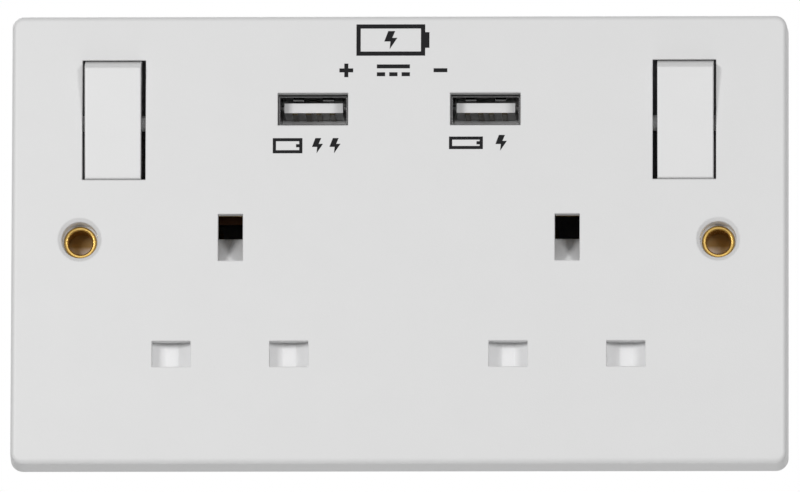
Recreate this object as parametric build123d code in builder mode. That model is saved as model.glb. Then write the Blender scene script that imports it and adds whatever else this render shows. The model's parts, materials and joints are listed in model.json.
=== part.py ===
from build123d import *
import os
from math import cos, pi, radians, sin

# Twin switched wall socket with two charging ports.
# X runs to the right, Z up, and the front face looks towards -Y. The wall plane is Y = 0,
# and the origin lies on it, midway between the two fixing holes.

# Clearances
flat_gap = 0.1
close_fit = 0.05
slide_gap = 0.25

# Front plate
plate_width = 147.0
plate_height = 86.0
plate_depth = 9.0
plate_corner_radius = 2.4
plate_edge_radius = 1.0
plate_draft = 2.0
plate_inner_radius = 1.0
face_wall = 2.5
side_wall = 2.2
rib_wall = 1.2
gusset_length = 3.0
gusset_rim_gap = 2.0
gusset_pitch = 24.0

# Wall fixing
fixing_pitch = 120.6
recess_radius = 3.45
recess_mouth = 0.7
recess_depth = 4.3
boss_wall = 1.6
eyelet_bore_radius = 2.3
eyelet_wall = 0.5
eyelet_lip_radius = 3.08
eyelet_lip_height = 0.5
eyelet_lip_bevel = 0.24
eyelet_flare = 0.6

# Outlets
outlet_x = 31.8
earth_z = 0.4
pin_pitch = 22.23
pin_drop = 22.23
earth_slot_width = 4.7
earth_slot_height = 8.9
pin_slot_width = 7.3
pin_slot_height = 4.9

# Switches
switch_x = 54.1
switch_z = 22.85
rocker_width = 10.6
rocker_side_gap = 0.7
rocker_radius = 11.9
rocker_end_gap = 0.35
rocker_face_reach = 5.65
rocker_pivot_depth = 4.5
rocker_skirt = 1.7
rocker_wall = 1.2
rocker_cap = 1.4
rocker_edge_radius = 0.35
opening_inset = 0.2
switch_tilt = 7.5
pivot_pin_radius = 1.5
pivot_fit = 0.08
lug_wall = 2.0
lug_inset = 0.2
lug_rim = 1.2
stem_radius = 2.6
stem_reach = 5.5
plunger_radius = 1.6
plunger_fit = 0.1
plunger_head = 1.5
plunger_travel = 0.6
plunger_tip_bevel = 1.2
plunger_tip_gap = 0.05
plunger_spring_well = 3.0

# Moving contacts
saw_half_length = 7.4
saw_width = 4.0
saw_contact_arm = 5.8
saw_trunnion_radius = 0.7
saw_trunnion_reach = 1.6
trunnion_fit = 0.06
contact_radius = 1.3
contact_height = 0.8
contact_gap = 0.1
cradle_height = 4.5
cradle_lip = 0.9
cradle_side_gap = 0.3

# Charging ports
port_x = 16.3
port_z = 24.9
port_opening_width = 13.3
port_opening_height = 6.2
port_collar = 2.0
shell_inner_width = 12.5
shell_inner_height = 5.12
shell_wall = 0.3
shell_length = 14.0
shell_lead = 0.1
shell_finger_width = 2.0
shell_finger_length = 4.0
shell_finger_dip = 0.55
shell_finger_pitch = 5.6
shell_finger_setback = 1.0
tongue_width = 11.1
tongue_height = 1.84
tongue_rise = 0.9
tongue_setback = 2.2
insulator_block = 3.0
insulator_fit = 0.05
port_contact_width = 1.0
port_contact_height = 0.25
port_contact_setback = 0.4
port_contact_offsets = (-3.5, -1.0, 1.0, 3.5)

# Shutters
shutter_travel = 5.6
shutter_cover = 0.35
shutter_lower_cover = 0.5
shutter_half_width = 16.0
shutter_stem_width = 6.4
shutter_ramp_rise = 5.15
shutter_ramp_lip = 0.15
groove_floor_width = 2.4
groove_depth = 1.2
shutter_guide_overrun = 2.4
shutter_seat_gap = 2.4
shutter_shelf_width = 7.0

# Springs
spring_wire = 0.5
shutter_spring_radius = 1.6
shutter_spring_turns = 5
plunger_spring_radius = 1.1
plunger_spring_turns = 4
spring_flats = 12

# Metalwork
sheet = 0.8
clip_leaf = 0.6
clip_leaf_width = 6.0
clip_root = 2.7
clip_grip = 1.85
clip_mouth = 2.7
clip_front_y = 1.0
clip_throat = 2.2
earth_clip_root = 3.0
earth_clip_grip = 1.85
earth_clip_mouth = 2.5
earth_clip_height = 7.0
earth_clip_depth = 12.6
earth_clip_throat = 5.0
earth_tongue_width = 6.0
strip_width = 4.0
strip_to_bar = 2.2
bar_to_floor = 2.2

# Terminals
terminal_width = 8.0
terminal_side_gap = 0.5
terminal_height = 9.0
terminal_depth = 6.0
terminal_top_z = -16.5
wire_bore_radius = 2.2
wire_bore_length = 8.0
terminal_screw_radius = 1.9
terminal_screw_rise = 1.0
terminal_screw_drop = 4.0
screw_slot = 0.8

# Rear housing
housing_height = 70.0
housing_depth = 19.0
housing_wall = 2.0
housing_corner_radius = 2.0
housing_edge_bevel = 1.0
housing_side_gap = 0.6
lug_notch_x = 51.0
lug_notch_height = 18.0
screw_upper_x = 36.0
screw_upper_z = 29.0
screw_lower_x = 54.5
screw_lower_z = -27.0
screw_radius = 1.45
screw_head_radius = 2.8
screw_head_height = 2.2
screw_head_room = 0.4
screw_seat = 3.0
screw_grip = 5.0
screw_tip_room = 0.3
screw_tube_wall = 1.2
pad_size = 3.0
bay_wall = 1.6
wire_notch_room = 0.4

# Charger
board_half_width = 28.0
board_thickness = 1.6
board_front_gap = 0.2
board_rear_gap = 1.0
core_width = 15.0
core_height = 12.0
core_depth = 5.0
core_limb = 2.5
winding_depth = 10.6
core_y = 5.0
large_can_radius = 4.0
large_can_length = 11.0
small_can_radius = 3.15
small_can_length = 8.5
can_x = 20.5
can_rim = 0.4
can_rectifier_gap = 0.75
rectifier_width = 6.0
rectifier_depth = 5.0
rectifier_height = 2.5
rectifier_shelf_gap = 1.1
chip_width = 5.0
chip_depth = 4.0
chip_height = 1.5
chip_y = 3.0

# Depth stations, all measured from the wall plane
face_y = -plate_depth
wall_back_y = face_y + face_wall
strap_back_y = -flat_gap
strap_front_y = strap_back_y - sheet
shutter_front_y = wall_back_y + slide_gap
shutter_back_y = strap_front_y - slide_gap
floor_y = housing_depth - housing_wall
bar_y = floor_y - bar_to_floor - sheet
strip_y = bar_y - strip_to_bar - sheet
strip_back_y = strip_y + sheet

# Switch stations: the see-saw is set so that its raised end just clears the fixed contact
tilt = radians(switch_tilt)
pivot_y = face_y + rocker_pivot_depth
saw_contact_depth = (sheet / 2 + contact_height) * cos(tilt) + (saw_contact_arm + contact_radius) * sin(tilt)
saw_y = strip_y - contact_height - contact_gap - saw_contact_depth
plunger_reach = saw_y - sheet / 2 - plunger_tip_gap - pivot_y
opening_x = switch_x - opening_inset
opening_width = rocker_width + 2 * rocker_side_gap

# Height stations
pin_z = earth_z - pin_drop
shutter_top_z = pin_z + pin_slot_height / 2 + shutter_cover
shutter_bottom_z = pin_z - pin_slot_height / 2 - shutter_lower_cover
shutter_guide_bottom_z = shutter_bottom_z - shutter_travel - shutter_guide_overrun
spring_seat_z = side_wall + shutter_seat_gap - plate_height / 2
shutter_spring_length = shutter_bottom_z - spring_seat_z
shell_width = shell_inner_width + 2 * shell_wall
shell_height = shell_inner_height + 2 * shell_wall
shell_front_y = wall_back_y - shell_lead
board_top_z = port_z - shell_height / 2
board_bottom_z = board_top_z - board_thickness
board_front_y = wall_back_y + port_collar + board_front_gap
board_back_y = floor_y - board_rear_gap
shelf_front_y = board_back_y - pad_size
rectifier_y = shelf_front_y - rectifier_shelf_gap - rectifier_depth / 2
can_y = rectifier_y - rectifier_depth / 2 - can_rectifier_gap - small_can_radius
terminal_pitch = terminal_width + 2 * terminal_side_gap + bay_wall
bay_half_width = terminal_pitch + terminal_pitch / 2
terminal_bottom_z = terminal_top_z - terminal_height
wire_y = strip_back_y + terminal_depth / 2
terminal_back_y = strip_back_y + terminal_depth

# Shared places
SIDES = (("left", -1), ("right", 1))
fixing_points = [(-fixing_pitch / 2, 0), (fixing_pitch / 2, 0)]
screw_points = [(side * screw_upper_x, screw_upper_z) for _, side in SIDES]
screw_points += [(side * screw_lower_x, screw_lower_z) for _, side in SIDES]
outlet_points = [(side * outlet_x, earth_z) for _, side in SIDES]
pin_points = [(side * outlet_x + pin * pin_pitch / 2, pin_z) for _, side in SIDES for pin in (-1, 1)]
port_points = [(side * port_x, port_z) for _, side in SIDES]
housing_half_width = switch_x + rocker_width / 2 + housing_side_gap + housing_wall
eyelet_outer_radius = eyelet_bore_radius + eyelet_wall
screw_tube_radius = screw_head_radius + screw_head_room + screw_tube_wall
run_top_z = terminal_top_z + 2 * strip_width
neutral_bar_z = terminal_bottom_z - strip_width / 2 - sheet

os.makedirs("parts", exist_ok=True)


def save(piece, name):
    """Name one finished piece and write it out."""
    piece.part.label = name
    export_step(piece.part, f"parts/{name}.step")


def facing(y):
    """Plane across the depth at y: local x is X, local y is Z, and the normal is the front."""
    return Plane.XZ.offset(-y)


def across(x, y, z, angle):
    """Plane square to X: local x points out of the wall, local y up, both turned about X."""
    return Plane(origin=(x, y, z), x_dir=(0, -cos(angle), -sin(angle)), z_dir=(-1, 0, 0))


def inward(x, y, z, angle):
    """Plane whose normal points into the wall, turned about X: local y points down."""
    return Plane(origin=(x, y, z), x_dir=(1, 0, 0), z_dir=(0, cos(angle), sin(angle)))


def bar(low, high):
    """Rectangle in the open sketch between two corners."""
    with Locations(((low[0] + high[0]) / 2, (low[1] + high[1]) / 2)):
        Rectangle(abs(high[0] - low[0]), abs(high[1] - low[1]))


def coil(plane, radius, length, turns):
    """Compression spring of square wire from a plane's origin along its normal, each turn of a few flats."""
    height = length - spring_wire - 2 * flat_gap
    steps = turns * spring_flats
    bends = [(step * 2 * pi / spring_flats, step * height / steps) for step in range(steps + 1)]
    with BuildPart() as spring:
        with BuildLine(plane.offset(spring_wire / 2 + flat_gap)) as turns_line:
            Polyline(*[(radius * cos(turn), radius * sin(turn), rise) for turn, rise in bends])
        wire_path = turns_line.wires()[0]
        with BuildSketch(Plane(origin=wire_path @ 0, x_dir=plane.z_dir, z_dir=wire_path % 0)):
            Rectangle(spring_wire, spring_wire)
        sweep(path=wire_path, transition=Transition.RIGHT)
    return spring


# Front plate: one moulding with its bosses, bearings, shutter guides and port collars
with BuildPart() as front_plate:
    with BuildSketch(Plane.XZ):
        RectangleRounded(plate_width, plate_height, plate_corner_radius)
    extrude(amount=plate_depth, taper=plate_draft)
    fillet(front_plate.faces().sort_by(Axis.Y)[0].edges(), plate_edge_radius)
    with BuildSketch(Plane.XZ):
        RectangleRounded(plate_width - 2 * side_wall, plate_height - 2 * side_wall, plate_inner_radius)
    extrude(amount=plate_depth - face_wall, mode=Mode.SUBTRACT)

    with BuildSketch(facing(strap_front_y)):
        with Locations(*fixing_points):
            Circle(recess_radius + boss_wall)
    extrude(amount=strap_front_y - wall_back_y)
    with BuildSketch(Plane.XZ):
        with Locations(*screw_points):
            Circle(screw_tube_radius)
    extrude(amount=-wall_back_y)
    with BuildSketch(facing(wall_back_y + port_collar)):
        with Locations(*port_points):
            Rectangle(port_opening_width + 2 * rib_wall, port_opening_height + 2 * rib_wall)
    extrude(amount=port_collar)

    with BuildSketch(facing(shutter_back_y)):
        for _, side in SIDES:
            for guide in (-1, 1):
                guide_x = side * outlet_x + guide * (shutter_half_width + slide_gap)
                bar((guide_x, shutter_guide_bottom_z), (guide_x + guide * rib_wall, shutter_top_z + rib_wall))
            bar((side * outlet_x - shutter_shelf_width / 2, spring_seat_z - rib_wall),
                (side * outlet_x + shutter_shelf_width / 2, spring_seat_z))
    extrude(amount=shutter_back_y - wall_back_y)
    gusset_z = plate_height / 2 - side_wall - gusset_length / 2
    with BuildSketch(facing(-gusset_rim_gap)):
        with GridLocations(gusset_pitch, 2 * gusset_z, 2, 2):
            Rectangle(rib_wall, gusset_length)
    extrude(amount=-gusset_rim_gap - wall_back_y)

    with BuildSketch(facing(face_y)):
        with Locations(*fixing_points):
            Circle(recess_radius)
    extrude(amount=-recess_depth, mode=Mode.SUBTRACT)
    recess_rims = front_plate.edges().filter_by(GeomType.CIRCLE)
    recess_rims = recess_rims.filter_by(lambda rim: abs(rim.radius - recess_radius) < flat_gap)
    chamfer(recess_rims.group_by(Axis.Y)[0], recess_mouth)
    with BuildSketch(Plane.XZ):
        with Locations(*fixing_points):
            Circle(eyelet_outer_radius + close_fit)
    extrude(amount=plate_depth, mode=Mode.SUBTRACT)
    with BuildSketch(Plane.XZ):
        with Locations(*screw_points):
            Circle(screw_radius + close_fit)
    extrude(amount=screw_grip + screw_tip_room, mode=Mode.SUBTRACT)
    with BuildSketch(facing(face_y)):
        with Locations(*outlet_points):
            Rectangle(earth_slot_width, earth_slot_height)
        with Locations(*pin_points):
            Rectangle(pin_slot_width, pin_slot_height)
    extrude(amount=-face_wall, mode=Mode.SUBTRACT)
    with BuildSketch(facing(face_y)):
        with Locations(*port_points):
            Rectangle(port_opening_width, port_opening_height)
    extrude(amount=-face_wall - port_collar, mode=Mode.SUBTRACT)

    lug_offset = opening_width / 2 + lug_inset + lug_wall / 2
    lug_radius = pivot_pin_radius + lug_rim
    for _, side in SIDES:
        with BuildSketch(Plane.YZ.offset(side * opening_x)):
            with Locations((pivot_y, switch_z)):
                Circle(rocker_radius + rocker_end_gap)
        extrude(amount=opening_width / 2, both=True, mode=Mode.SUBTRACT)
        for lug in (-1, 1):
            with BuildSketch(Plane.YZ.offset(side * opening_x + lug * lug_offset)):
                bar((wall_back_y, switch_z - lug_radius), (pivot_y, switch_z + lug_radius))
                with Locations((pivot_y, switch_z)):
                    Circle(lug_radius)
                    Circle(pivot_pin_radius + pivot_fit, mode=Mode.SUBTRACT)
            extrude(amount=lug_wall / 2, both=True)
save(front_plate, "front_plate")


# Rear housing
def housing_outline(inset):
    """Housing section in the open sketch, with a notch at each side for the wall box lugs."""
    half_width = housing_half_width - inset
    notch_depth = half_width - lug_notch_x + inset
    Rectangle(2 * half_width, housing_height - 2 * inset)
    with GridLocations(2 * half_width - notch_depth, 1, 2, 1):
        Rectangle(notch_depth, lug_notch_height + 2 * inset, mode=Mode.SUBTRACT)


with BuildPart() as rear_housing:
    with BuildSketch(Plane.XZ) as housing_section:
        housing_outline(0)
        fillet(housing_section.vertices(), housing_corner_radius)
    extrude(amount=-housing_depth)
    chamfer(rear_housing.faces().sort_by(Axis.Y)[-1].edges(), housing_edge_bevel)
    with BuildSketch(Plane.XZ):
        housing_outline(housing_wall)
    extrude(amount=-floor_y, mode=Mode.SUBTRACT)

    # Seats under the live bar, and the taller seats under the neutral bar and the live strips
    with BuildSketch(facing(bar_y + sheet)):
        for _, side in SIDES:
            bar((side * outlet_x - pad_size / 2, run_top_z - strip_width),
                (side * outlet_x + pad_size / 2, run_top_z))
    extrude(amount=bar_y + sheet - floor_y)
    strip_seats = [(-outlet_x, neutral_bar_z), (outlet_x - pin_pitch / 2, neutral_bar_z)]
    strip_seats += [(side * outlet_x + pin_pitch / 2, earth_z) for _, side in SIDES]
    strip_seats += [(side * (outlet_x + pin_pitch / 2), switch_z - cradle_height) for _, side in SIDES]
    with BuildSketch(facing(strip_back_y)):
        with Locations(*strip_seats):
            Rectangle(pad_size, pad_size)
    extrude(amount=strip_back_y - floor_y)

    # Rails behind the shutters and shelves under the charger board
    rail_low_z = neutral_bar_z + strip_width / 2 + sheet
    with BuildSketch(facing(strap_front_y)):
        for _, side in SIDES:
            for rail in (-1, 1):
                rail_x = side * outlet_x + rail * pin_pitch / 4
                bar((rail_x - rib_wall / 2, rail_low_z), (rail_x + rib_wall / 2, terminal_top_z))
    extrude(amount=strap_front_y - floor_y)
    with BuildSketch(facing(shelf_front_y)):
        for _, side in SIDES:
            bar((side * (board_half_width - 2 * pad_size), board_bottom_z - housing_wall),
                (side * board_half_width, board_bottom_z))
    extrude(amount=shelf_front_y - floor_y)

    # Terminal bay, open to the back, with a wall between neighbouring wires
    bay_top_z = terminal_top_z + strip_width / 2
    bay_bottom_z = -housing_height / 2 + housing_wall
    with BuildSketch(facing(housing_depth)):
        bar((-bay_half_width, bay_bottom_z), (bay_half_width, bay_top_z))
    extrude(amount=housing_wall, mode=Mode.SUBTRACT)
    with BuildSketch(facing(housing_depth)):
        for wall_x in (-bay_half_width, -terminal_pitch / 2, terminal_pitch / 2, bay_half_width):
            bar((wall_x - bay_wall / 2, bay_bottom_z - housing_wall / 2),
                (wall_x + bay_wall / 2, run_top_z - strip_width - slide_gap))
    extrude(amount=housing_depth - strip_back_y - flat_gap)
    wire_notch_radius = wire_bore_radius + wire_notch_room
    with BuildSketch(facing(housing_depth)):
        for terminal in (-1, 0, 1):
            bar((terminal * terminal_pitch - wire_notch_radius, -housing_height / 2),
                (terminal * terminal_pitch + wire_notch_radius, bay_bottom_z))
    extrude(amount=housing_depth - wire_y + wire_notch_radius, mode=Mode.SUBTRACT)

    # Screw tubes
    with BuildSketch(Plane.XZ):
        with Locations(*screw_points):
            Circle(screw_tube_radius)
    extrude(amount=-floor_y)
    with BuildSketch(facing(housing_depth)):
        with Locations(*screw_points):
            Circle(screw_head_radius + screw_head_room)
    extrude(amount=housing_depth - screw_seat, mode=Mode.SUBTRACT)
    with BuildSketch(Plane.XZ):
        with Locations(*screw_points):
            Circle(screw_radius + 2 * close_fit)
    extrude(amount=-screw_seat, mode=Mode.SUBTRACT)
save(rear_housing, "rear_housing")

# Housing screws, driven from the back into the plate's bosses
with BuildPart() as housing_screws:
    with BuildSketch(facing(screw_seat)):
        with Locations(*screw_points):
            Circle(screw_radius)
    extrude(amount=screw_seat + screw_grip)
    with BuildSketch(facing(screw_seat)):
        with Locations(*screw_points):
            Circle(screw_head_radius)
    extrude(amount=-screw_head_height)
save(housing_screws, "housing_screws")

# Brass eyelets: a rounded lip in the front recess, riveted over behind the earth strap
recess_floor_y = face_y + recess_depth
for hand, side in SIDES:
    with BuildPart() as eyelet:
        with BuildSketch(facing(recess_floor_y)):
            with Locations((side * fixing_pitch / 2, 0)):
                Circle(eyelet_lip_radius)
        extrude(amount=eyelet_lip_height)
        with BuildSketch(facing(recess_floor_y)):
            with Locations((side * fixing_pitch / 2, 0)):
                Circle(eyelet_outer_radius)
        extrude(amount=recess_floor_y - strap_back_y)
        with BuildSketch(facing(strap_back_y)):
            with Locations((side * fixing_pitch / 2, 0)):
                Circle(eyelet_outer_radius + eyelet_flare)
        extrude(amount=-eyelet_wall)
        with BuildSketch(facing(recess_floor_y - eyelet_lip_height)):
            with Locations((side * fixing_pitch / 2, 0)):
                Circle(eyelet_bore_radius)
        extrude(amount=-plate_depth, mode=Mode.SUBTRACT)
        chamfer(eyelet.faces().sort_by(Axis.Y)[0].edges(), eyelet_lip_bevel)
    save(eyelet, f"eyelet_{hand}")

# Earth strap: one stamping from eyelet to eyelet, with a pair of earth clip leaves at each outlet
# and a tongue folded back over the earth terminal
tongue_half_width = earth_tongue_width / 2
earth_grip_y = earth_clip_depth - earth_clip_throat
with BuildPart() as earth_strap:
    with BuildSketch(facing(strap_back_y)):
        bar((-fixing_pitch / 2, -strip_width), (fixing_pitch / 2, strip_width))
        with Locations(*fixing_points):
            Circle(recess_radius + boss_wall / 2)
            Circle(eyelet_outer_radius + close_fit, mode=Mode.SUBTRACT)
        with Locations(*outlet_points):
            Rectangle(2 * (earth_clip_root + strip_width), earth_slot_height + strip_width)
            Rectangle(2 * earth_clip_root - clip_leaf, earth_slot_height + 2 * sheet, mode=Mode.SUBTRACT)
        bar((-tongue_half_width, terminal_top_z), (tongue_half_width, 0))
    extrude(amount=sheet)
    with BuildSketch(Plane.XY.offset(terminal_top_z)):
        bar((-tongue_half_width, strap_front_y), (tongue_half_width, terminal_back_y))
    extrude(amount=sheet)
    for _, side in SIDES:
        for leaf in (-1, 1):
            with BuildSketch(Plane.XY.offset(earth_z)):
                with BuildLine():
                    Polyline(
                        (side * outlet_x + leaf * earth_clip_root, strap_front_y),
                        (side * outlet_x + leaf * (earth_clip_grip + clip_leaf / 2), earth_grip_y),
                        (side * outlet_x + leaf * earth_clip_mouth, earth_clip_depth),
                    )
                trace(line_width=clip_leaf)
            extrude(amount=earth_clip_height / 2, both=True)
save(earth_strap, "earth_strap")


def leaf_points(leaf):
    """Middle line of one pin clip leaf, as depth and height: it runs forward and grips the pin."""
    root = (strip_back_y, pin_z + leaf * clip_root)
    grip = (clip_front_y + clip_throat, pin_z + leaf * (clip_grip + clip_leaf / 2))
    mouth = (clip_front_y, pin_z + leaf * clip_mouth)
    return root, grip, mouth


def clip_base(x, low_z, high_z):
    """Base of a pin clip in the open sketch."""
    bar((x - clip_leaf_width / 2, low_z), (x + clip_leaf_width / 2, high_z))


clip_half_height = clip_root + clip_leaf / 2
neutral_pins = [side * outlet_x - pin_pitch / 2 for _, side in SIDES]
live_pins = [side * outlet_x + pin_pitch / 2 for _, side in SIDES]

# Neutral bar: both neutral clips, the terminal seat and the riser to the charger board
with BuildPart() as neutral_bar:
    with BuildSketch(facing(strip_back_y)):
        bar((neutral_pins[0] - clip_leaf_width / 2, neutral_bar_z - strip_width / 2),
            (neutral_pins[1] + clip_leaf_width / 2, neutral_bar_z + strip_width / 2))
        for pin_x in neutral_pins:
            clip_base(pin_x, neutral_bar_z, pin_z + clip_half_height)
        bar((-terminal_pitch - strip_width / 2, neutral_bar_z),
            (-terminal_pitch + strip_width / 2, board_bottom_z))
    extrude(amount=sheet)
    for pin_x in neutral_pins:
        for leaf in (-1, 1):
            with BuildSketch(Plane.YZ.offset(pin_x)):
                with BuildLine():
                    Polyline(*leaf_points(leaf))
                trace(line_width=clip_leaf)
            extrude(amount=clip_leaf_width / 2, both=True)
save(neutral_bar, "neutral_bar")

# Live bar: terminal tab, riser to the charger board, and a cradle for each see-saw contact
bar_leg_x = lug_notch_x - housing_wall - strip_width / 2 - sheet / 2
ear_offset = saw_width / 2 + cradle_side_gap + sheet / 2
with BuildPart() as live_bar:
    with BuildSketch(facing(bar_y + sheet)):
        bar((-bar_leg_x, run_top_z - strip_width), (bar_leg_x, run_top_z))
        bar((terminal_pitch - strip_width / 2, terminal_top_z),
            (terminal_pitch + strip_width / 2, board_bottom_z))
        for _, side in SIDES:
            bar((side * bar_leg_x - strip_width / 2, run_top_z - strip_width),
                (side * bar_leg_x + strip_width / 2, switch_z + cradle_height / 2))
            bar((side * bar_leg_x, switch_z - cradle_height / 2),
                (side * (switch_x + ear_offset + sheet / 2), switch_z + cradle_height / 2))
    extrude(amount=sheet)
    for _, side in SIDES:
        for ear in (-1, 1):
            with BuildSketch(Plane.YZ.offset(side * switch_x + ear * ear_offset)):
                bar((saw_y - cradle_lip, switch_z - cradle_height / 2), (bar_y, switch_z + cradle_height / 2))
                with Locations((saw_y, switch_z)):
                    Circle(saw_trunnion_radius + trunnion_fit, mode=Mode.SUBTRACT)
                with Locations((saw_y - cradle_lip / 2, switch_z)):
                    Rectangle(cradle_lip, 2 * (saw_trunnion_radius + trunnion_fit), mode=Mode.SUBTRACT)
            extrude(amount=sheet / 2, both=True)
save(live_bar, "live_bar")

# Switched live strips: clip, leg up to the switch, and the fixed contact behind the see-saw
contact_z = switch_z + saw_contact_arm
crossing_z = earth_z + earth_clip_height / 2 + strip_width
leg_x = outlet_x + pin_pitch / 2
for (hand, side), pin_x in zip(SIDES, live_pins):
    with BuildPart() as live_strip:
        with BuildSketch(facing(strip_back_y)):
            clip_base(pin_x, pin_z - clip_half_height, pin_z + clip_half_height)
            bar((pin_x - strip_width / 2, pin_z), (pin_x + strip_width / 2, crossing_z + strip_width / 2))
            bar((pin_x, crossing_z - strip_width / 2),
                (side * leg_x - strip_width / 2, crossing_z + strip_width / 2))
            bar((side * leg_x - strip_width / 2, crossing_z - strip_width / 2),
                (side * leg_x + strip_width / 2, contact_z + strip_width / 2))
            bar((side * leg_x, contact_z - strip_width / 2),
                (side * (switch_x + contact_radius), contact_z + strip_width / 2))
        extrude(amount=sheet)
        with BuildSketch(facing(strip_y)):
            with Locations((side * switch_x, contact_z)):
                Circle(contact_radius)
        extrude(amount=contact_height)
        for leaf in (-1, 1):
            with BuildSketch(Plane.YZ.offset(pin_x)):
                with BuildLine():
                    Polyline(*leaf_points(leaf))
                trace(line_width=clip_leaf)
            extrude(amount=clip_leaf_width / 2, both=True)
    save(live_strip, f"live_strip_{hand}")


# Rockers
def rocker_section(radius, low, high):
    """Flat-faced section with round ends about the pivot, in the open sketch."""
    Circle(radius)
    with Locations(((low + high) / 2, 0)):
        Rectangle(high - low, 2 * radius, mode=Mode.INTERSECT)


rocker_pin_reach = opening_width / 2 + lug_inset + lug_wall - rocker_end_gap
for hand, side in SIDES:
    rocker_side = across(side * switch_x, pivot_y, switch_z, tilt)
    rocker_back = inward(side * switch_x, pivot_y, switch_z, tilt)
    with BuildPart() as rocker:
        with BuildSketch(rocker_side):
            rocker_section(rocker_radius, -rocker_skirt, rocker_face_reach)
        extrude(amount=rocker_width / 2, both=True)
        fillet(rocker.faces().sort_by(Axis.Y)[0].edges(), rocker_edge_radius)
        with BuildSketch(rocker_side):
            Circle(pivot_pin_radius)
        extrude(amount=rocker_pin_reach, both=True)
        with BuildSketch(rocker_side):
            rocker_section(rocker_radius - rocker_wall, -2 * rocker_skirt, rocker_face_reach - rocker_cap)
        extrude(amount=rocker_width / 2 - rocker_wall, both=True, mode=Mode.SUBTRACT)
        with BuildSketch(rocker_back.offset(rocker_cap - rocker_face_reach)):
            Circle(stem_radius)
        extrude(amount=rocker_face_reach - rocker_cap + stem_reach)
        with BuildSketch(rocker_back.offset(-plunger_spring_well)):
            Circle(plunger_radius + plunger_fit)
        extrude(amount=plunger_spring_well + stem_reach, mode=Mode.SUBTRACT)
    save(rocker, f"rocker_{hand}")

    with BuildPart() as plunger:
        with BuildSketch(rocker_back.offset(plunger_head)):
            Circle(plunger_radius)
        extrude(amount=plunger_reach - plunger_head)
        chamfer(plunger.faces().sort_by(Axis.Y)[-1].edges(), plunger_tip_bevel)
    save(plunger, f"plunger_{hand}")

    plunger_spring_room = plunger_spring_well + plunger_head - plunger_travel
    plunger_spring = coil(rocker_back.offset(-plunger_spring_well), plunger_spring_radius,
                          plunger_spring_room, plunger_spring_turns)
    save(plunger_spring, f"plunger_spring_{hand}")

    # See-saw contact: a strip with two trunnions and a contact button at its upper end
    with BuildPart() as moving_contact:
        saw_side = across(side * switch_x, saw_y, switch_z, -tilt)
        with BuildSketch(saw_side):
            Circle(saw_trunnion_radius)
        extrude(amount=saw_width / 2 + saw_trunnion_reach, both=True)
        with BuildSketch(saw_side):
            Circle(2 * saw_trunnion_radius)
        extrude(amount=saw_width / 2, both=True, mode=Mode.SUBTRACT)
        with BuildSketch(saw_side):
            Rectangle(sheet, 2 * saw_half_length)
        extrude(amount=saw_width / 2, both=True)
        with BuildSketch(inward(side * switch_x, saw_y, switch_z, -tilt).offset(sheet / 2)):
            with Locations((0, -saw_contact_arm)):
                Circle(contact_radius)
        extrude(amount=contact_height)
    save(moving_contact, f"moving_contact_{hand}")

# Shutters: a bar across both pin slots, and a stem with the ramp that the earth pin pushes down
ramp_low_z = earth_z - earth_slot_height / 2 + shutter_ramp_lip
groove_floor_y = shutter_front_y + groove_depth
for hand, side in SIDES:
    centre_x = side * outlet_x
    with BuildPart() as shutter:
        with BuildSketch(facing(shutter_back_y)):
            bar((centre_x - shutter_half_width, shutter_bottom_z),
                (centre_x + shutter_half_width, shutter_top_z))
        extrude(amount=shutter_back_y - shutter_front_y)
        with BuildSketch(Plane.YZ.offset(centre_x)):
            Polygon(
                (shutter_front_y, pin_z),
                (shutter_back_y, pin_z),
                (shutter_back_y, ramp_low_z + shutter_ramp_rise),
                (shutter_front_y, ramp_low_z),
                align=None,
            )
        extrude(amount=shutter_stem_width / 2, both=True)
        for pin in (-1, 1):
            pin_x = centre_x + pin * pin_pitch / 2
            with BuildSketch(Plane.XY.offset(shutter_bottom_z)):
                Polygon(
                    (pin_x - pin_slot_width / 2, shutter_front_y),
                    (pin_x + pin_slot_width / 2, shutter_front_y),
                    (pin_x + groove_floor_width / 2, groove_floor_y),
                    (pin_x - groove_floor_width / 2, groove_floor_y),
                    align=None,
                )
            extrude(amount=shutter_top_z - shutter_bottom_z, mode=Mode.SUBTRACT)
    save(shutter, f"shutter_{hand}")

    spring_foot = Plane(origin=(centre_x, (shutter_front_y + shutter_back_y) / 2, spring_seat_z))
    shutter_spring = coil(spring_foot, shutter_spring_radius, shutter_spring_length, shutter_spring_turns)
    save(shutter_spring, f"shutter_spring_{hand}")

# Terminal blocks: wire bore from below, clamp screw from the back
screw_z = terminal_top_z - terminal_screw_drop
terminals = (("neutral", -terminal_pitch), ("earth", 0), ("live", terminal_pitch))
for supply, x in terminals:
    with BuildPart() as terminal:
        with BuildSketch(facing(strip_back_y)):
            bar((x - terminal_width / 2, terminal_bottom_z), (x + terminal_width / 2, terminal_top_z))
        extrude(amount=-terminal_depth)
        with BuildSketch(Plane.XY.offset(terminal_bottom_z)):
            with Locations((x, wire_y)):
                Circle(wire_bore_radius)
        extrude(amount=wire_bore_length, mode=Mode.SUBTRACT)
        with BuildSketch(facing(terminal_back_y)):
            with Locations((x, screw_z)):
                Circle(terminal_screw_radius + close_fit)
        extrude(amount=terminal_depth / 2, mode=Mode.SUBTRACT)
    save(terminal, f"{supply}_terminal")

with BuildPart() as terminal_screws:
    screw_tip_y = wire_y + wire_bore_radius + close_fit
    screw_top_y = terminal_back_y + terminal_screw_rise
    with BuildSketch(facing(screw_tip_y)):
        with Locations(*[(x, screw_z) for _, x in terminals]):
            Circle(terminal_screw_radius)
    extrude(amount=screw_tip_y - screw_top_y)
    with BuildSketch(facing(screw_top_y)):
        with Locations(*[(x, screw_z) for _, x in terminals]):
            Rectangle(2 * terminal_screw_radius, screw_slot)
    extrude(amount=screw_slot, mode=Mode.SUBTRACT)
save(terminal_screws, "terminal_screws")

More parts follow.
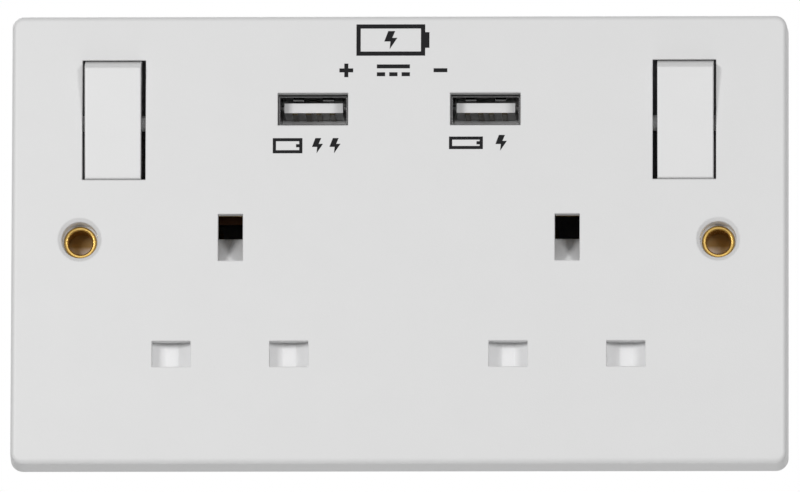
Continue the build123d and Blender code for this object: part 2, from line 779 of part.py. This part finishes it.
# Charging ports: a sheet shell with two spring fingers, an insulator with its tongue, four contacts
shell_back_y = shell_front_y + shell_length
tongue_z = port_z + tongue_rise
tongue_front_y = shell_front_y + tongue_setback
block_back_y = shell_back_y - shell_wall - insulator_fit
block_front_y = block_back_y - insulator_block
finger_tip_y = shell_front_y + shell_finger_setback
ceiling_z = port_z + shell_inner_height / 2
for hand, side in SIDES:
    x = side * port_x
    with BuildPart() as port_shell:
        with BuildSketch(facing(shell_back_y)):
            with Locations((x, port_z)):
                Rectangle(shell_width, shell_height)
        extrude(amount=shell_length)
        with BuildSketch(facing(shell_front_y)):
            with Locations((x, port_z)):
                Rectangle(shell_inner_width, shell_inner_height)
        extrude(amount=shell_wall - shell_length, mode=Mode.SUBTRACT)
        for finger in (-1, 1):
            with BuildSketch(Plane.YZ.offset(x + finger * shell_finger_pitch / 2)):
                with BuildLine():
                    Line((finger_tip_y + shell_finger_length, ceiling_z + shell_wall / 2),
                         (finger_tip_y, ceiling_z - shell_finger_dip + shell_wall / 2))
                trace(line_width=shell_wall)
            extrude(amount=shell_finger_width / 2, both=True)
    save(port_shell, f"usb_shell_{hand}")

    with BuildPart() as insulator:
        with BuildSketch(facing(block_back_y)):
            with Locations((x, port_z)):
                Rectangle(shell_inner_width - 2 * insulator_fit, shell_inner_height - 2 * insulator_fit)
        extrude(amount=insulator_block)
        with BuildSketch(facing(block_front_y)):
            with Locations((x, tongue_z)):
                Rectangle(tongue_width, tongue_height)
        extrude(amount=block_front_y - tongue_front_y)
    save(insulator, f"usb_insulator_{hand}")

    with BuildPart() as port_contacts:
        with BuildSketch(facing(block_front_y)):
            for offset_x in port_contact_offsets:
                with Locations((x + offset_x, tongue_z - tongue_height / 2 - port_contact_height / 2)):
                    Rectangle(port_contact_width, port_contact_height)
        extrude(amount=block_front_y - tongue_front_y - port_contact_setback)
    save(port_contacts, f"usb_contacts_{hand}")

# Charger board under the ports, with its parts
with BuildPart() as charger_board:
    with BuildSketch(Plane.XY.offset(board_bottom_z)):
        bar((-board_half_width, board_front_y), (board_half_width, board_back_y))
    extrude(amount=board_thickness)
save(charger_board, "charger_board")

core_z = board_bottom_z - core_height / 2
window_height = core_height - 2 * core_limb
window_width = core_width / 2 - 2 * core_limb
with BuildPart() as transformer_core:
    with BuildSketch(facing(core_y)):
        with Locations((0, core_z)):
            Rectangle(core_width, core_height)
            with GridLocations(2 * core_limb + window_width, 1, 2, 1):
                Rectangle(window_width, window_height, mode=Mode.SUBTRACT)
    extrude(amount=core_depth / 2, both=True)
save(transformer_core, "transformer_core")

with BuildPart() as transformer_winding:
    with BuildSketch(Plane.XY.offset(core_z)):
        with Locations((0, core_y)):
            RectangleRounded(2 * (core_limb + window_width - flat_gap), winding_depth, core_limb)
            Rectangle(2 * (core_limb + close_fit), core_depth + 2 * close_fit, mode=Mode.SUBTRACT)
    extrude(amount=window_height / 2 - flat_gap, both=True)
save(transformer_winding, "transformer_winding")

with BuildPart() as capacitors:
    with BuildSketch(Plane.XY.offset(board_bottom_z)):
        with Locations((-can_x, can_y)):
            Circle(large_can_radius)
    extrude(amount=-large_can_length)
    with BuildSketch(Plane.XY.offset(board_bottom_z)):
        with Locations((can_x, can_y)):
            Circle(small_can_radius)
    extrude(amount=-small_can_length)
    can_ends = capacitors.faces().filter_by(Axis.Z).sort_by(Axis.Z)[:2]
    chamfer(can_ends.edges(), can_rim)
save(capacitors, "capacitors")

with BuildPart() as rectifier:
    with BuildSketch(Plane.XY.offset(board_bottom_z)):
        with Locations((can_x, rectifier_y)):
            Rectangle(rectifier_width, rectifier_depth)
    extrude(amount=-rectifier_height)
save(rectifier, "rectifier")

with BuildPart() as controller_chip:
    with BuildSketch(Plane.XY.offset(board_top_z)):
        with Locations((0, chip_y)):
            Rectangle(chip_width, chip_depth)
    extrude(amount=chip_height)
save(controller_chip, "controller_chip")
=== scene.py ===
import json
import math

import bmesh
import bpy
from mathutils import Matrix, Vector


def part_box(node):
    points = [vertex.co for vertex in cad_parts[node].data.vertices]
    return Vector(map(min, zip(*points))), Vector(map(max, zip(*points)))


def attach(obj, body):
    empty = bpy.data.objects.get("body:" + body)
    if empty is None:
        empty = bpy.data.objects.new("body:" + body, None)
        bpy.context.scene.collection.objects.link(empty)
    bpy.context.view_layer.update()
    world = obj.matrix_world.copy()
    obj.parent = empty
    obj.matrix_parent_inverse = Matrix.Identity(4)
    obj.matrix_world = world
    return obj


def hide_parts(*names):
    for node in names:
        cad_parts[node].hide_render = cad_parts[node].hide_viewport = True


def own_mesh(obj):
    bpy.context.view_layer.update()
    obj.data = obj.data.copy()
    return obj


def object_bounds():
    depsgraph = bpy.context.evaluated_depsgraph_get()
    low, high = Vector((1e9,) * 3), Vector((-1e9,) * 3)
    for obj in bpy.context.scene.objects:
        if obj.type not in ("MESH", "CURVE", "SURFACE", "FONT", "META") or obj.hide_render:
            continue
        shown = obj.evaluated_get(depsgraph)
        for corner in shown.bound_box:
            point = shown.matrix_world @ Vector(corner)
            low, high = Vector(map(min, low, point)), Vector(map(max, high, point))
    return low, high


# Twin switched wall socket with two charging ports, in metres.
# X runs to the right, Z up, the front face looks towards -Y and the wall plane is Y = 0.

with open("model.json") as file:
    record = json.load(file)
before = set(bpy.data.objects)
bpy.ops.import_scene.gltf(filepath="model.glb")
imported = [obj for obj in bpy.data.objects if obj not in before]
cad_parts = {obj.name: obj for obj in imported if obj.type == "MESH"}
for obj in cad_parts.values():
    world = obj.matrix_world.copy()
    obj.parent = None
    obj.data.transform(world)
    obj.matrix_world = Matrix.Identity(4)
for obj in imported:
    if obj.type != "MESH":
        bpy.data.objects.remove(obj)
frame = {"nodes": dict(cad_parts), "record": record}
cad_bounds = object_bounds()
mm = 0.001
sides = {"left": -1, "right": 1}

# Camera: a little below the plate's middle and a little to its right
camera_distance = 4.0
camera_azimuth = math.radians(1.7)
camera_elevation = math.radians(-8.8)
camera_roll = math.radians(0.17)
camera_aim = Vector((0.25, -9.0, -1.3)) * mm
view_width = 151.0 * mm
sensor_width = 36.0

# Studio: each lamp has a place, a width and a power
floor_drop = 0.75
floor_half_width = 6.0
sky_level = 0.34
lamps = {
    "left_lamp": (Vector((-0.27, -0.51, 0.05)), 0.11, 1.25),
    "right_lamp": (Vector((0.27, -0.51, 0.05)), 0.11, 0.93),
    "low_lamp": (Vector((0.05, -0.30, -0.55)), 0.40, 0.55),
    "under_lamp": (Vector((0.05, 0.35, -0.45)), 0.30, 0.55),
    "rear_lamp": (Vector((-0.6, 0.9, 0.7)), 0.9, 6.5),
}

# Edges: a rolled-over rim of the face, and the angle that keeps an added edge sharp
rim_roll_width = 1.3 * mm
rim_roll_radius = 7.0 * mm
sharp_angle = math.radians(35)

# Print on the face
ink_proud = 0.03 * mm
ink_sunk = 0.01 * mm
device_line = 0.6 * mm

# Dark card behind each rocker, on the housing's front edge: painted shade that closes the view through the
# rocker gaps so that they show dark
switch_x = 54.1 * mm
switch_z = 22.85 * mm
card_width = 15.2 * mm
card_bottom_z = 9.2 * mm
card_top_z = 40.0 * mm
card_hole_radius = 3.4 * mm
card_front_y = -0.5 * mm
card_back_y = -0.1 * mm

# Shutter springs
coil_wire = 0.5 * mm
coil_turns = 5
coil_steps = 24
wire_sides = 10

# Housing screws: the pan head's curve is given in shares of its radius and height
screw_places = [(-36.0 * mm, 29.0 * mm), (36.0 * mm, 29.0 * mm),
                (-54.5 * mm, -27.0 * mm), (54.5 * mm, -27.0 * mm)]
screw_seat_y = 3.0 * mm
screw_tip_y = -5.0 * mm
screw_radius = 1.45 * mm
screw_head_radius = 2.8 * mm
screw_head_height = 2.2 * mm
screw_head_curve = ((1.0, 0.0), (1.0, 0.45), (0.94, 0.75), (0.82, 0.93), (0.68, 1.0))
thread_pitch = 1.1 * mm
thread_depth = 0.32 * mm
thread_rings = 6
recess_arm = 1.5 * mm
recess_half_width = 0.32 * mm
recess_depth = 1.2 * mm
recess_taper = 0.6

# Moulded marks on the back
mark_height = 0.3 * mm
mark_line = 0.5 * mm
sign_size = 3.2 * mm
sign_z = -11.2 * mm
terminal_pitch = 10.6 * mm
ejector_places = [(side * x * mm, z * mm) for side in (-1, 1) for x, z in ((24, 22), (46, 17), (27, -24))]
ejector_radius = 2.6 * mm
ejector_rim = 0.25 * mm
ejector_height = 0.06 * mm

# Sheet of painted shade behind each fixing hole: painted brown shade down to one height, a paler painted
# grey light from another
hole_shade_half_width = 3.2 * mm
hole_shade_gap = 0.3 * mm
hole_painted_shade_to = 0.1 * mm
hole_painted_light_from = -1.0 * mm


class Shade:
    """A socket in one node tree. Arithmetic on it adds Math nodes."""

    def __init__(self, tree, socket=None):
        self.tree = tree
        self.socket = socket

    def add(self, kind, settings=None, sockets=None, output=0):
        """Any other node: its settings are made first, then its sockets, and one output is returned."""
        node = self.tree.nodes.new(kind)
        for name, value in (settings or {}).items():
            setattr(node, name, value)
        for name, value in (sockets or {}).items():
            if isinstance(value, Shade):
                self.tree.links.new(value.socket, node.inputs[name])
            else:
                node.inputs[name].default_value = value
        return Shade(self.tree, node.outputs[output] if node.outputs else None)

    def maths(self, operation, first, second=0.0):
        return self.add("ShaderNodeMath", {"operation": operation}, {0: first, 1: second})

    def __add__(self, other):
        return self.maths("ADD", self, other)

    def __radd__(self, other):
        return self.maths("ADD", other, self)

    def __sub__(self, other):
        return self.maths("SUBTRACT", self, other)

    def __rsub__(self, other):
        return self.maths("SUBTRACT", other, self)

    def __mul__(self, other):
        return self.maths("MULTIPLY", self, other)

    def __rmul__(self, other):
        return self.maths("MULTIPLY", other, self)

    def __truediv__(self, other):
        return self.maths("DIVIDE", self, other)

    def __rtruediv__(self, other):
        return self.maths("DIVIDE", other, self)


def open_material(name):
    """A material with an empty node tree, and the handle that adds nodes to it."""
    material = bpy.data.materials.new(name)
    material.use_nodes = True
    material.node_tree.nodes.clear()
    return material, Shade(material.node_tree)


def close_material(material, tree, surface):
    """Show a surface as the material's own."""
    tree.add("ShaderNodeOutputMaterial", sockets={"Surface": surface})
    return material


def grain(tree, per_mm, stretch=(1.0, 1.0, 1.0), detail=3.0):
    """Noise between 0 and 1 in the object's own frame, with so many features per millimetre."""
    place = tree.add("ShaderNodeTexCoord", output="Object")
    place = tree.add("ShaderNodeMapping", sockets={"Vector": place, "Scale": stretch})
    return tree.add("ShaderNodeTexNoise", sockets={"Vector": place, "Scale": per_mm / mm, "Detail": detail})


def between(tree, share, low, high):
    """Colour that runs from low to high as share goes from 0 to 1."""
    ends = {0: share, 6: (*low, 1.0), 7: (*high, 1.0)}
    return tree.add("ShaderNodeMix", {"data_type": "RGBA"}, ends, 2)


def relief(tree, height, depth, edge):
    """Normal with a fine relief, and with edges softened over a small radius."""
    soft = tree.add("ShaderNodeBevel", {"samples": 4}, {"Radius": edge})
    return tree.add("ShaderNodeBump", sockets={"Height": height, "Distance": depth, "Normal": soft})


def shaded(tone, factor):
    return tuple(factor * channel for channel in tone)


def rim_roll(tree):
    """Height of the plate's skin, which drops away in a soft curve towards the rim of the face."""
    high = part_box("front_plate")[1]
    place = tree.add("ShaderNodeTexCoord", output="Object")
    drop = 0.0
    for axis, reach in (("X", high.x), ("Z", high.z)):
        along = tree.add("ShaderNodeSeparateXYZ", sockets={"Vector": place}, output=axis)
        over = tree.maths("MAXIMUM", tree.maths("ABSOLUTE", along) - (reach - rim_roll_width), 0.0)
        drop = over * over / (2 * rim_roll_radius) + drop
    return 0.0 - drop


def moulding(name, tone, roughness, pitted, edge=0.2 * mm, form=None):
    """Moulded plastic: faint clouding, fine spark-eroded skin, soft edges, and a rolled form if given."""
    material, tree = open_material(name)
    clouds = grain(tree, per_mm=0.12)
    skin = grain(tree, per_mm=3.0)
    normal = relief(tree, skin, pitted, edge)
    if form:
        rolled = {"Height": form(tree), "Distance": 1.0, "Normal": normal}
        normal = tree.add("ShaderNodeBump", sockets=rolled)
    surface = tree.add("ShaderNodeBsdfPrincipled", sockets={
        "Base Color": between(tree, clouds * 0.6 + skin * 0.4, shaded(tone, 0.975), shaded(tone, 1.025)),
        "Roughness": roughness + (skin - 0.5) * 0.16,
        "Normal": normal,
    })
    return close_material(material, tree, surface)


def pressed_metal(name, tone, roughness, edge=0.1 * mm):
    """Bare sheet or bar metal: rolling streaks, faint tarnish and broken edges."""
    material, tree = open_material(name)
    streaks = grain(tree, per_mm=1.2, stretch=(1.0, 1.0, 6.0))
    tarnish = grain(tree, per_mm=0.25)
    surface = tree.add("ShaderNodeBsdfPrincipled", sockets={
        "Base Color": between(tree, tarnish * 0.7 + streaks * 0.3, shaded(tone, 0.78), shaded(tone, 1.1)),
        "Metallic": 1.0,
        "Roughness": roughness + (streaks - 0.5) * 0.2,
        "Normal": relief(tree, streaks, 0.01 * mm, edge),
    })
    return close_material(material, tree, surface)


def laminate(name):
    """Board: green resist over a faint weave, with paler clouds where copper lies beneath."""
    material, tree = open_material(name)
    copper = grain(tree, per_mm=0.35, detail=0.0)
    weave = grain(tree, per_mm=2.0, stretch=(1.0, 4.0, 1.0))
    surface = tree.add("ShaderNodeBsdfPrincipled", sockets={
        "Base Color": between(tree, copper * 1.6 - 0.3, (0.010, 0.085, 0.030), (0.025, 0.17, 0.06)),
        "Roughness": 0.35 + (weave - 0.5) * 0.2,
        "Normal": relief(tree, weave, 0.01 * mm, 0.05 * mm),
    })
    return close_material(material, tree, surface)


def ink(name):
    """Pad-printed ink: nearly black, a little thin in places."""
    material, tree = open_material(name)
    film = grain(tree, per_mm=4.0)
    surface = tree.add("ShaderNodeBsdfPrincipled", sockets={
        "Base Color": between(tree, film, (0.006, 0.006, 0.007), (0.014, 0.014, 0.015)),
        "Roughness": 0.5 + (film - 0.5) * 0.2,
        "Specular IOR Level": 0.1,
    })
    return close_material(material, tree, surface)


# Finishes by slot: a moulding has a tone, a roughness, a depth of skin and an edge, a metal has no skin
finishes = {
    "white_moulding": moulding("white_moulding", (0.70, 0.70, 0.70), 0.46, 0.02 * mm, 0.4 * mm, rim_roll),
    "rocker_moulding": moulding("rocker_moulding", (0.74, 0.74, 0.74), 0.34, 0.006 * mm),
    "shutter_moulding": moulding("shutter_moulding", (0.88, 0.88, 0.885), 0.40, 0.006 * mm),
    "housing_moulding": moulding("housing_moulding", (0.085, 0.085, 0.09), 0.55, 0.04 * mm, 0.3 * mm),
    "plunger_nylon": moulding("plunger_nylon", (0.72, 0.69, 0.60), 0.45, 0.005 * mm),
    "tongue_moulding": moulding("tongue_moulding", (0.80, 0.80, 0.80), 0.42, 0.004 * mm, 0.08 * mm),
    "brass": pressed_metal("brass", (0.80, 0.53, 0.16), 0.24, 0.25 * mm),
    # Copper's very dark tone is partly tarnish and partly painted shade for the strips seen deep in the
    # slots
    "copper": pressed_metal("copper", (0.30, 0.15, 0.085), 0.36),
    # Gilt contacts get a near-black tone: painted shade for the contacts seen inside the ports
    "gilt_contact": pressed_metal("gilt_contact", (0.055, 0.042, 0.022), 0.38),
    # Plated steel gets a dark tone: painted shade for the port shells seen deep in their openings
    "plated_steel": pressed_metal("plated_steel", (0.14, 0.14, 0.14), 0.18),
    "zinc_steel": pressed_metal("zinc_steel", (0.60, 0.61, 0.62), 0.32),
    "spring_steel": pressed_metal("spring_steel", (0.45, 0.45, 0.46), 0.28),
    "board_laminate": laminate("board_laminate"),
    "ferrite": moulding("ferrite", (0.055, 0.055, 0.058), 0.6, 0.03 * mm, 0.1 * mm),
    "winding_tape": moulding("winding_tape", (0.70, 0.50, 0.05), 0.35, 0.01 * mm, 0.1 * mm),
    "capacitor_sleeve": moulding("capacitor_sleeve", (0.03, 0.035, 0.07), 0.3, 0.01 * mm, 0.1 * mm),
    "chip_resin": moulding("chip_resin", (0.03, 0.03, 0.032), 0.55, 0.015 * mm, 0.06 * mm),
    "print_ink": ink("print_ink"),
}
for subpart in frame["record"]["subparts"]:
    mesh = frame["nodes"][subpart["node"]].data
    mesh.materials.clear()
    mesh.materials.append(finishes[subpart["material_slot"]])


def add_piece(name, mesh_maker, slot, body):
    """One new mesh piece, filled in by mesh_maker, that rides on a body and takes a slot's finish."""
    made = bmesh.new()
    mesh_maker(made)
    bmesh.ops.recalc_face_normals(made, faces=made.faces)
    mesh = bpy.data.meshes.new(name)
    made.to_mesh(mesh)
    made.free()
    mesh.shade_smooth()
    mesh.set_sharp_from_angle(angle=sharp_angle)
    mesh.materials.append(finishes[slot])
    piece = bpy.data.objects.new(name, mesh)
    bpy.context.scene.collection.objects.link(piece)
    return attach(piece, body)


# Outlines are lists of (x, z) points, and depths are along Y
def box_points(x, z, width, height):
    corners = ((-1, -1), (1, -1), (1, 1), (-1, 1))
    return [(x + right * width / 2, z + up * height / 2) for right, up in corners]


def round_points(x, z, radius, count=32):
    turns = [2 * math.pi * step / count for step in range(count)]
    return [(x + radius * math.cos(turn), z + radius * math.sin(turn)) for turn in turns]


def cross_points(x, z, half_width, reach):
    quarter = [(half_width, half_width), (reach, half_width), (reach, -half_width)]
    points = []
    for _ in range(4):
        points += [(x + right, z + up) for right, up in quarter]
        quarter = [(up, -right) for right, up in quarter]
    return points


def loop(made, points, y):
    """Corners and edges of a closed outline at one depth."""
    corners = [made.verts.new((x, y, z)) for x, z in points]
    return corners, [made.edges.new((corners[here - 1], corners[here])) for here in range(len(corners))]


def wall(made, first, second):
    """Faces between two outlines of as many corners."""
    for here in range(len(first)):
        made.faces.new((first[here - 1], first[here], second[here], second[here - 1]))


def lid(made, *loops):
    """Flat face inside the first outline and outside the others."""
    bmesh.ops.triangle_fill(made, use_beauty=True, edges=[edge for _, edges in loops for edge in edges])


def slab(made, front_y, back_y, *outlines):
    """Flat piece between two depths: the first outline is its edge, and the others are holes."""
    fronts = [loop(made, points, front_y) for points in outlines]
    backs = [loop(made, points, back_y) for points in outlines]
    lid(made, *fronts)
    lid(made, *backs)
    for (front, _), (back, _) in zip(fronts, backs):
        wall(made, front, back)


# Print: plain pictograms on the face
face_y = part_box("front_plate")[0].y


def ink_patch(made, *outlines):
    """Thin raised patch of ink."""
    slab(made, face_y - ink_proud, face_y + ink_sunk, *outlines)


def ink_bar(made, x, z, width, height):
    ink_patch(made, box_points(x, z, width, height))


def ink_frame(made, x, z, width, height, line):
    ink_patch(made, box_points(x, z, width, height), box_points(x, z, width - 2 * line, height - 2 * line))


def ink_bolt(made, x, z, height):
    """Lightning flash about its middle, drawn in shares of its height."""
    flash = [(-0.06, -0.5), (0.36, 0.12), (0.08, 0.12), (0.24, 0.5),
             (-0.14, 0.5), (-0.36, -0.08), (-0.02, -0.08)]
    ink_patch(made, [(x + height * right, z + height * up) for right, up in flash])


def ink_device(made, x, z, width, height):
    """Flat device with one button."""
    ink_frame(made, x, z, width, height, device_line)
    ink_bar(made, x + width / 2 - 1.5 * device_line, z, device_line, device_line)


def print_battery(made):
    """Charging sign at the top: a battery with a flash in it."""
    x, z = -1.6 * mm, 38.1 * mm
    width, height = 13.0 * mm, 6.0 * mm
    line = 0.8 * mm
    ink_frame(made, x, z, width, height, line)
    ink_bar(made, x + width / 2 + line / 2, z, line, height / 2)
    ink_bolt(made, x, z, height - 3.2 * line)


def print_output(made):
    """Output sign: plus, direct current, minus."""
    x, z = -1.1 * mm, 32.3 * mm
    reach = 8.9 * mm
    size = 2.6 * mm
    line = 0.75 * mm
    ink_patch(made, cross_points(x - reach, z, line / 2, size / 2))
    ink_bar(made, x, z + line, 2.4 * size, line)
    for dash in (-1, 0, 1):
        ink_bar(made, x + dash * 0.9 * size, z - line, 0.6 * size, line)
    ink_bar(made, x + reach, z, size, line)


def print_tablet(made):
    """Left port: a tablet and two flashes."""
    x, z = -21.05 * mm, 17.9 * mm
    width, height = 5.6 * mm, 2.9 * mm
    ink_device(made, x, z, width, height)
    for flash_x in (-15.4 * mm, -12.1 * mm):
        ink_bolt(made, flash_x, z, height)


def print_phone(made):
    """Right port: a phone and one flash."""
    x, z = 12.65 * mm, 18.4 * mm
    width, height = 6.4 * mm, 2.4 * mm
    flash_x, flash_height = 19.3 * mm, 3.0 * mm
    ink_device(made, x, z, width, height)
    ink_bolt(made, flash_x, z, flash_height)


add_piece("print_battery", print_battery, "print_ink", "socket")
add_piece("print_output", print_output, "print_ink", "socket")
add_piece("print_tablet", print_tablet, "print_ink", "socket")
add_piece("print_phone", print_phone, "print_ink", "socket")


# Dark cards of painted shade behind the rocker gaps, with a hole for the rocker's stem
def gap_shade_card(made, x):
    edge = box_points(x, (card_bottom_z + card_top_z) / 2, card_width, card_top_z - card_bottom_z)
    stem_hole = round_points(x, switch_z, card_hole_radius)
    slab(made, card_front_y, card_back_y, edge, stem_hole)


for hand, side in sides.items():
    add_piece(f"gap_shade_card_{hand}", lambda made: gap_shade_card(made, side * switch_x),
              "housing_moulding", "socket")


# Shutter springs of round wire; in the real socket they close up as the shutters slide down, but these coils
# stay fixed on the socket body
def shutter_coil(made, low, high):
    """Upright coil of round wire in a box."""
    middle_x, middle_y = (low.x + high.x) / 2, (low.y + high.y) / 2
    radius = (high.x - low.x - coil_wire) / 2
    rise = high.z - low.z - coil_wire
    rings = []
    for step in range(coil_turns * coil_steps + 1):
        turn = 2 * math.pi * step / coil_steps
        z = low.z + coil_wire / 2 + rise * step / (coil_turns * coil_steps)
        section = round_points(radius, z, coil_wire / 2, wire_sides)
        rings.append([made.verts.new((middle_x + out * math.cos(turn), middle_y + out * math.sin(turn), up))
                      for out, up in section])
    for first, second in zip(rings, rings[1:]):
        wall(made, first, second)
    made.faces.new(rings[0])
    made.faces.new(rings[-1])


for hand in sides:
    foot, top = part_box(f"shutter_spring_{hand}")
    coil = add_piece(f"shutter_coil_{hand}", lambda made: shutter_coil(made, foot, top),
                     "spring_steel", "socket")
    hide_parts(f"shutter_spring_{hand}")
    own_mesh(coil)


# Housing screws with a cross recess and a thread, in place of their plain solids
def thread_points(x, z, y, count=24):
    """Section of the threaded shank at one depth."""
    points = []
    for step in range(count):
        ridge = abs(2 * ((y / thread_pitch + step / count) % 1.0) - 1)
        points.append(round_points(x, z, screw_radius - thread_depth * ridge, count)[step])
    return points


def screw_shank(made, x, z):
    """Threaded shank, closed at both ends."""
    length = screw_seat_y - screw_tip_y
    steps = round(length / thread_pitch * thread_rings)
    depths = [screw_tip_y + length * step / steps for step in range(steps + 1)]
    shank = [loop(made, thread_points(x, z, y), y) for y in depths]
    lid(made, shank[0])
    for (first, _), (second, _) in zip(shank, shank[1:]):
        wall(made, first, second)
    lid(made, shank[-1])


def screw_head(made, x, z):
    """Pan head with a tapered cross recess."""
    head = [loop(made, round_points(x, z, wide * screw_head_radius), screw_seat_y + tall * screw_head_height)
            for wide, tall in screw_head_curve]
    for (first, _), (second, _) in zip(head, head[1:]):
        wall(made, first, second)
    lid(made, head[0])
    top_y = screw_seat_y + screw_head_height
    cross = [loop(made, cross_points(x, z, recess_half_width * share, recess_arm * share), top_y - depth)
             for share, depth in ((1.0, 0.0), (recess_taper, recess_depth))]
    lid(made, head[-1], cross[0])
    wall(made, cross[0][0], cross[1][0])
    lid(made, cross[1])


def housing_screw_set(made):
    """All four screws, driven forward from the back."""
    for x, z in screw_places:
        screw_shank(made, x, z)
        screw_head(made, x, z)


screws = add_piece("cross_head_screws", housing_screw_set, "zinc_steel", "socket")
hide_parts("housing_screws")

# Moulded marks on the back: signs at the terminals that read from behind, and ejector rings
back_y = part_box("rear_housing")[1].y


def mark_patch(made, *points):
    slab(made, back_y - ink_sunk, back_y + mark_height, points)


def mark_bar(made, x, z, width, height):
    mark_patch(made, *box_points(x, z, width, height))


def neutral_sign(made, x):
    """Two posts and a slanting bar."""
    half = sign_size / 2
    reach = 0.7 * half
    for side in (-1, 1):
        mark_bar(made, x + side * reach, sign_z, mark_line, sign_size)
    mark_patch(made, (x + reach - mark_line, sign_z + half), (x + reach, sign_z + half),
               (x - reach + mark_line, sign_z - half), (x - reach, sign_z - half))


def earth_sign(made, x):
    """A stem on three bars, each shorter than the one above."""
    half = sign_size / 2
    mark_bar(made, x, sign_z + 0.6 * half, mark_line, 0.8 * half)
    for row, share in enumerate((1.0, 0.64, 0.28)):
        mark_bar(made, x, sign_z + (0.2 - 0.45 * row) * half, sign_size * share, mark_line)


def live_sign(made, x):
    """A post with a foot."""
    half = sign_size / 2
    mark_bar(made, x + 0.5 * half, sign_z, mark_line, sign_size)
    mark_bar(made, x, sign_z - half + mark_line / 2, half, mark_line)


def terminal_signs(made):
    neutral_sign(made, -terminal_pitch)
    earth_sign(made, 0.0)
    live_sign(made, terminal_pitch)


def ejector_marks(made):
    for x, z in ejector_places:
        slab(made, back_y - ink_sunk, back_y + ejector_height,
             round_points(x, z, ejector_radius), round_points(x, z, ejector_radius - ejector_rim))


add_piece("terminal_signs", terminal_signs, "housing_moulding", "socket")
add_piece("ejector_marks", ejector_marks, "housing_moulding", "socket")


# Stage: floor, sheets of painted shade behind the fixing holes, lamps, sky and camera
def stage_plane(name, place, half_width, material, turn=Matrix()):
    """Square stage sheet that is no part of the object."""
    made = bmesh.new()
    bmesh.ops.create_grid(made, x_segments=1, y_segments=1, size=half_width)
    mesh = bpy.data.meshes.new(name)
    made.to_mesh(mesh)
    made.free()
    mesh.materials.append(material)
    sheet = bpy.data.objects.new(name, mesh)
    sheet.matrix_world = Matrix.Translation(place) @ turn
    bpy.context.scene.collection.objects.link(sheet)


def one_sided(tree, colour):
    """Matt surface of a sheet that is clear from behind."""
    matt = tree.add("ShaderNodeBsdfDiffuse", sockets={"Color": colour})
    clear = tree.add("ShaderNodeBsdfTransparent")
    behind = tree.add("ShaderNodeNewGeometry", output="Backfacing")
    return tree.add("ShaderNodeMixShader", sockets={0: behind, 1: matt, 2: clear})


def floor_finish():
    """Pale matt floor."""
    material, tree = open_material("studio_floor")
    colour = between(tree, grain(tree, per_mm=0.02), (0.80, 0.80, 0.80), (0.84, 0.84, 0.84))
    return close_material(material, tree, one_sided(tree, colour))


def hole_shade_finish():
    """Painted shade seen through a fixing hole: brown painted shade above, paler grey painted light below.
    """
    material, tree = open_material("hole_shade")
    place = tree.add("ShaderNodeTexCoord", output="Object")
    height = tree.add("ShaderNodeSeparateXYZ", sockets={"Vector": place}, output="Y")
    low = tree.add("ShaderNodeMapRange", sockets={
        "Value": height, "From Min": hole_painted_shade_to, "From Max": hole_painted_light_from})
    # Painted shade: brown above, and a paler grey patch of painted light below
    colour = between(tree, low, (0.28, 0.19, 0.09), (0.62, 0.57, 0.56))
    return close_material(material, tree, one_sided(tree, colour))


stage_plane("studio_floor", (0, 0, cad_bounds[0].z - floor_drop), floor_half_width, floor_finish())
upright = Matrix.Rotation(math.radians(90), 4, "X")
shade_finish = hole_shade_finish()
# Sheets of painted shade behind the fixing holes
for hand in sides:
    low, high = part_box(f"eyelet_{hand}")
    hole = (low + high) / 2
    hole.y = high.y + hole_shade_gap
    stage_plane(f"hole_shade_{hand}", hole, hole_shade_half_width, shade_finish, upright)


def aimed(place, target):
    """Frame at a place that looks at a target, upright."""
    return Matrix.Translation(place) @ (target - place).to_track_quat("-Z", "Y").to_matrix().to_4x4()


def add_lamp(name, place, width, power):
    """Soft square lamp that points at the plate and isn't seen itself."""
    light = bpy.data.lights.new(name, "AREA")
    light.size = width
    light.energy = power
    lamp = bpy.data.objects.new(name, light)
    lamp.matrix_world = aimed(place, camera_aim)
    lamp.visible_camera = False
    bpy.context.scene.collection.objects.link(lamp)


for name, (place, width, power) in lamps.items():
    add_lamp(name, place, width, power)

# Sky: white where it is seen, dimmer where it lights the socket
world = bpy.data.worlds.new("studio")
world.use_nodes = True
world.node_tree.nodes.clear()
sky = Shade(world.node_tree)
seen = sky.add("ShaderNodeLightPath", output="Is Camera Ray")
seen = seen + sky.add("ShaderNodeLightPath", output="Is Glossy Ray")
seen = seen + sky.add("ShaderNodeLightPath", output="Is Transmission Ray")
white = sky.add("ShaderNodeMapRange", sockets={"Value": seen, "To Min": sky_level, "To Max": 1.0})
backdrop = sky.add("ShaderNodeBackground", sockets={"Color": (1.0, 1.0, 1.0, 1.0), "Strength": white})
sky.add("ShaderNodeOutputWorld", sockets={"Surface": backdrop})
bpy.context.scene.world = world
bpy.context.scene.view_settings.view_transform = "Standard"

lens = bpy.data.cameras.new("camera")
lens.sensor_width = sensor_width
lens.lens = sensor_width * camera_distance / view_width
camera = bpy.data.objects.new("camera", lens)
sight = Vector((math.sin(camera_azimuth) * math.cos(camera_elevation),
                -math.cos(camera_azimuth) * math.cos(camera_elevation),
                math.sin(camera_elevation)))
camera.matrix_world = aimed(camera_aim + camera_distance * sight, camera_aim)
camera.matrix_world = camera.matrix_world @ Matrix.Rotation(camera_roll, 4, "Z")
bpy.context.scene.collection.objects.link(camera)
bpy.context.scene.camera = camera
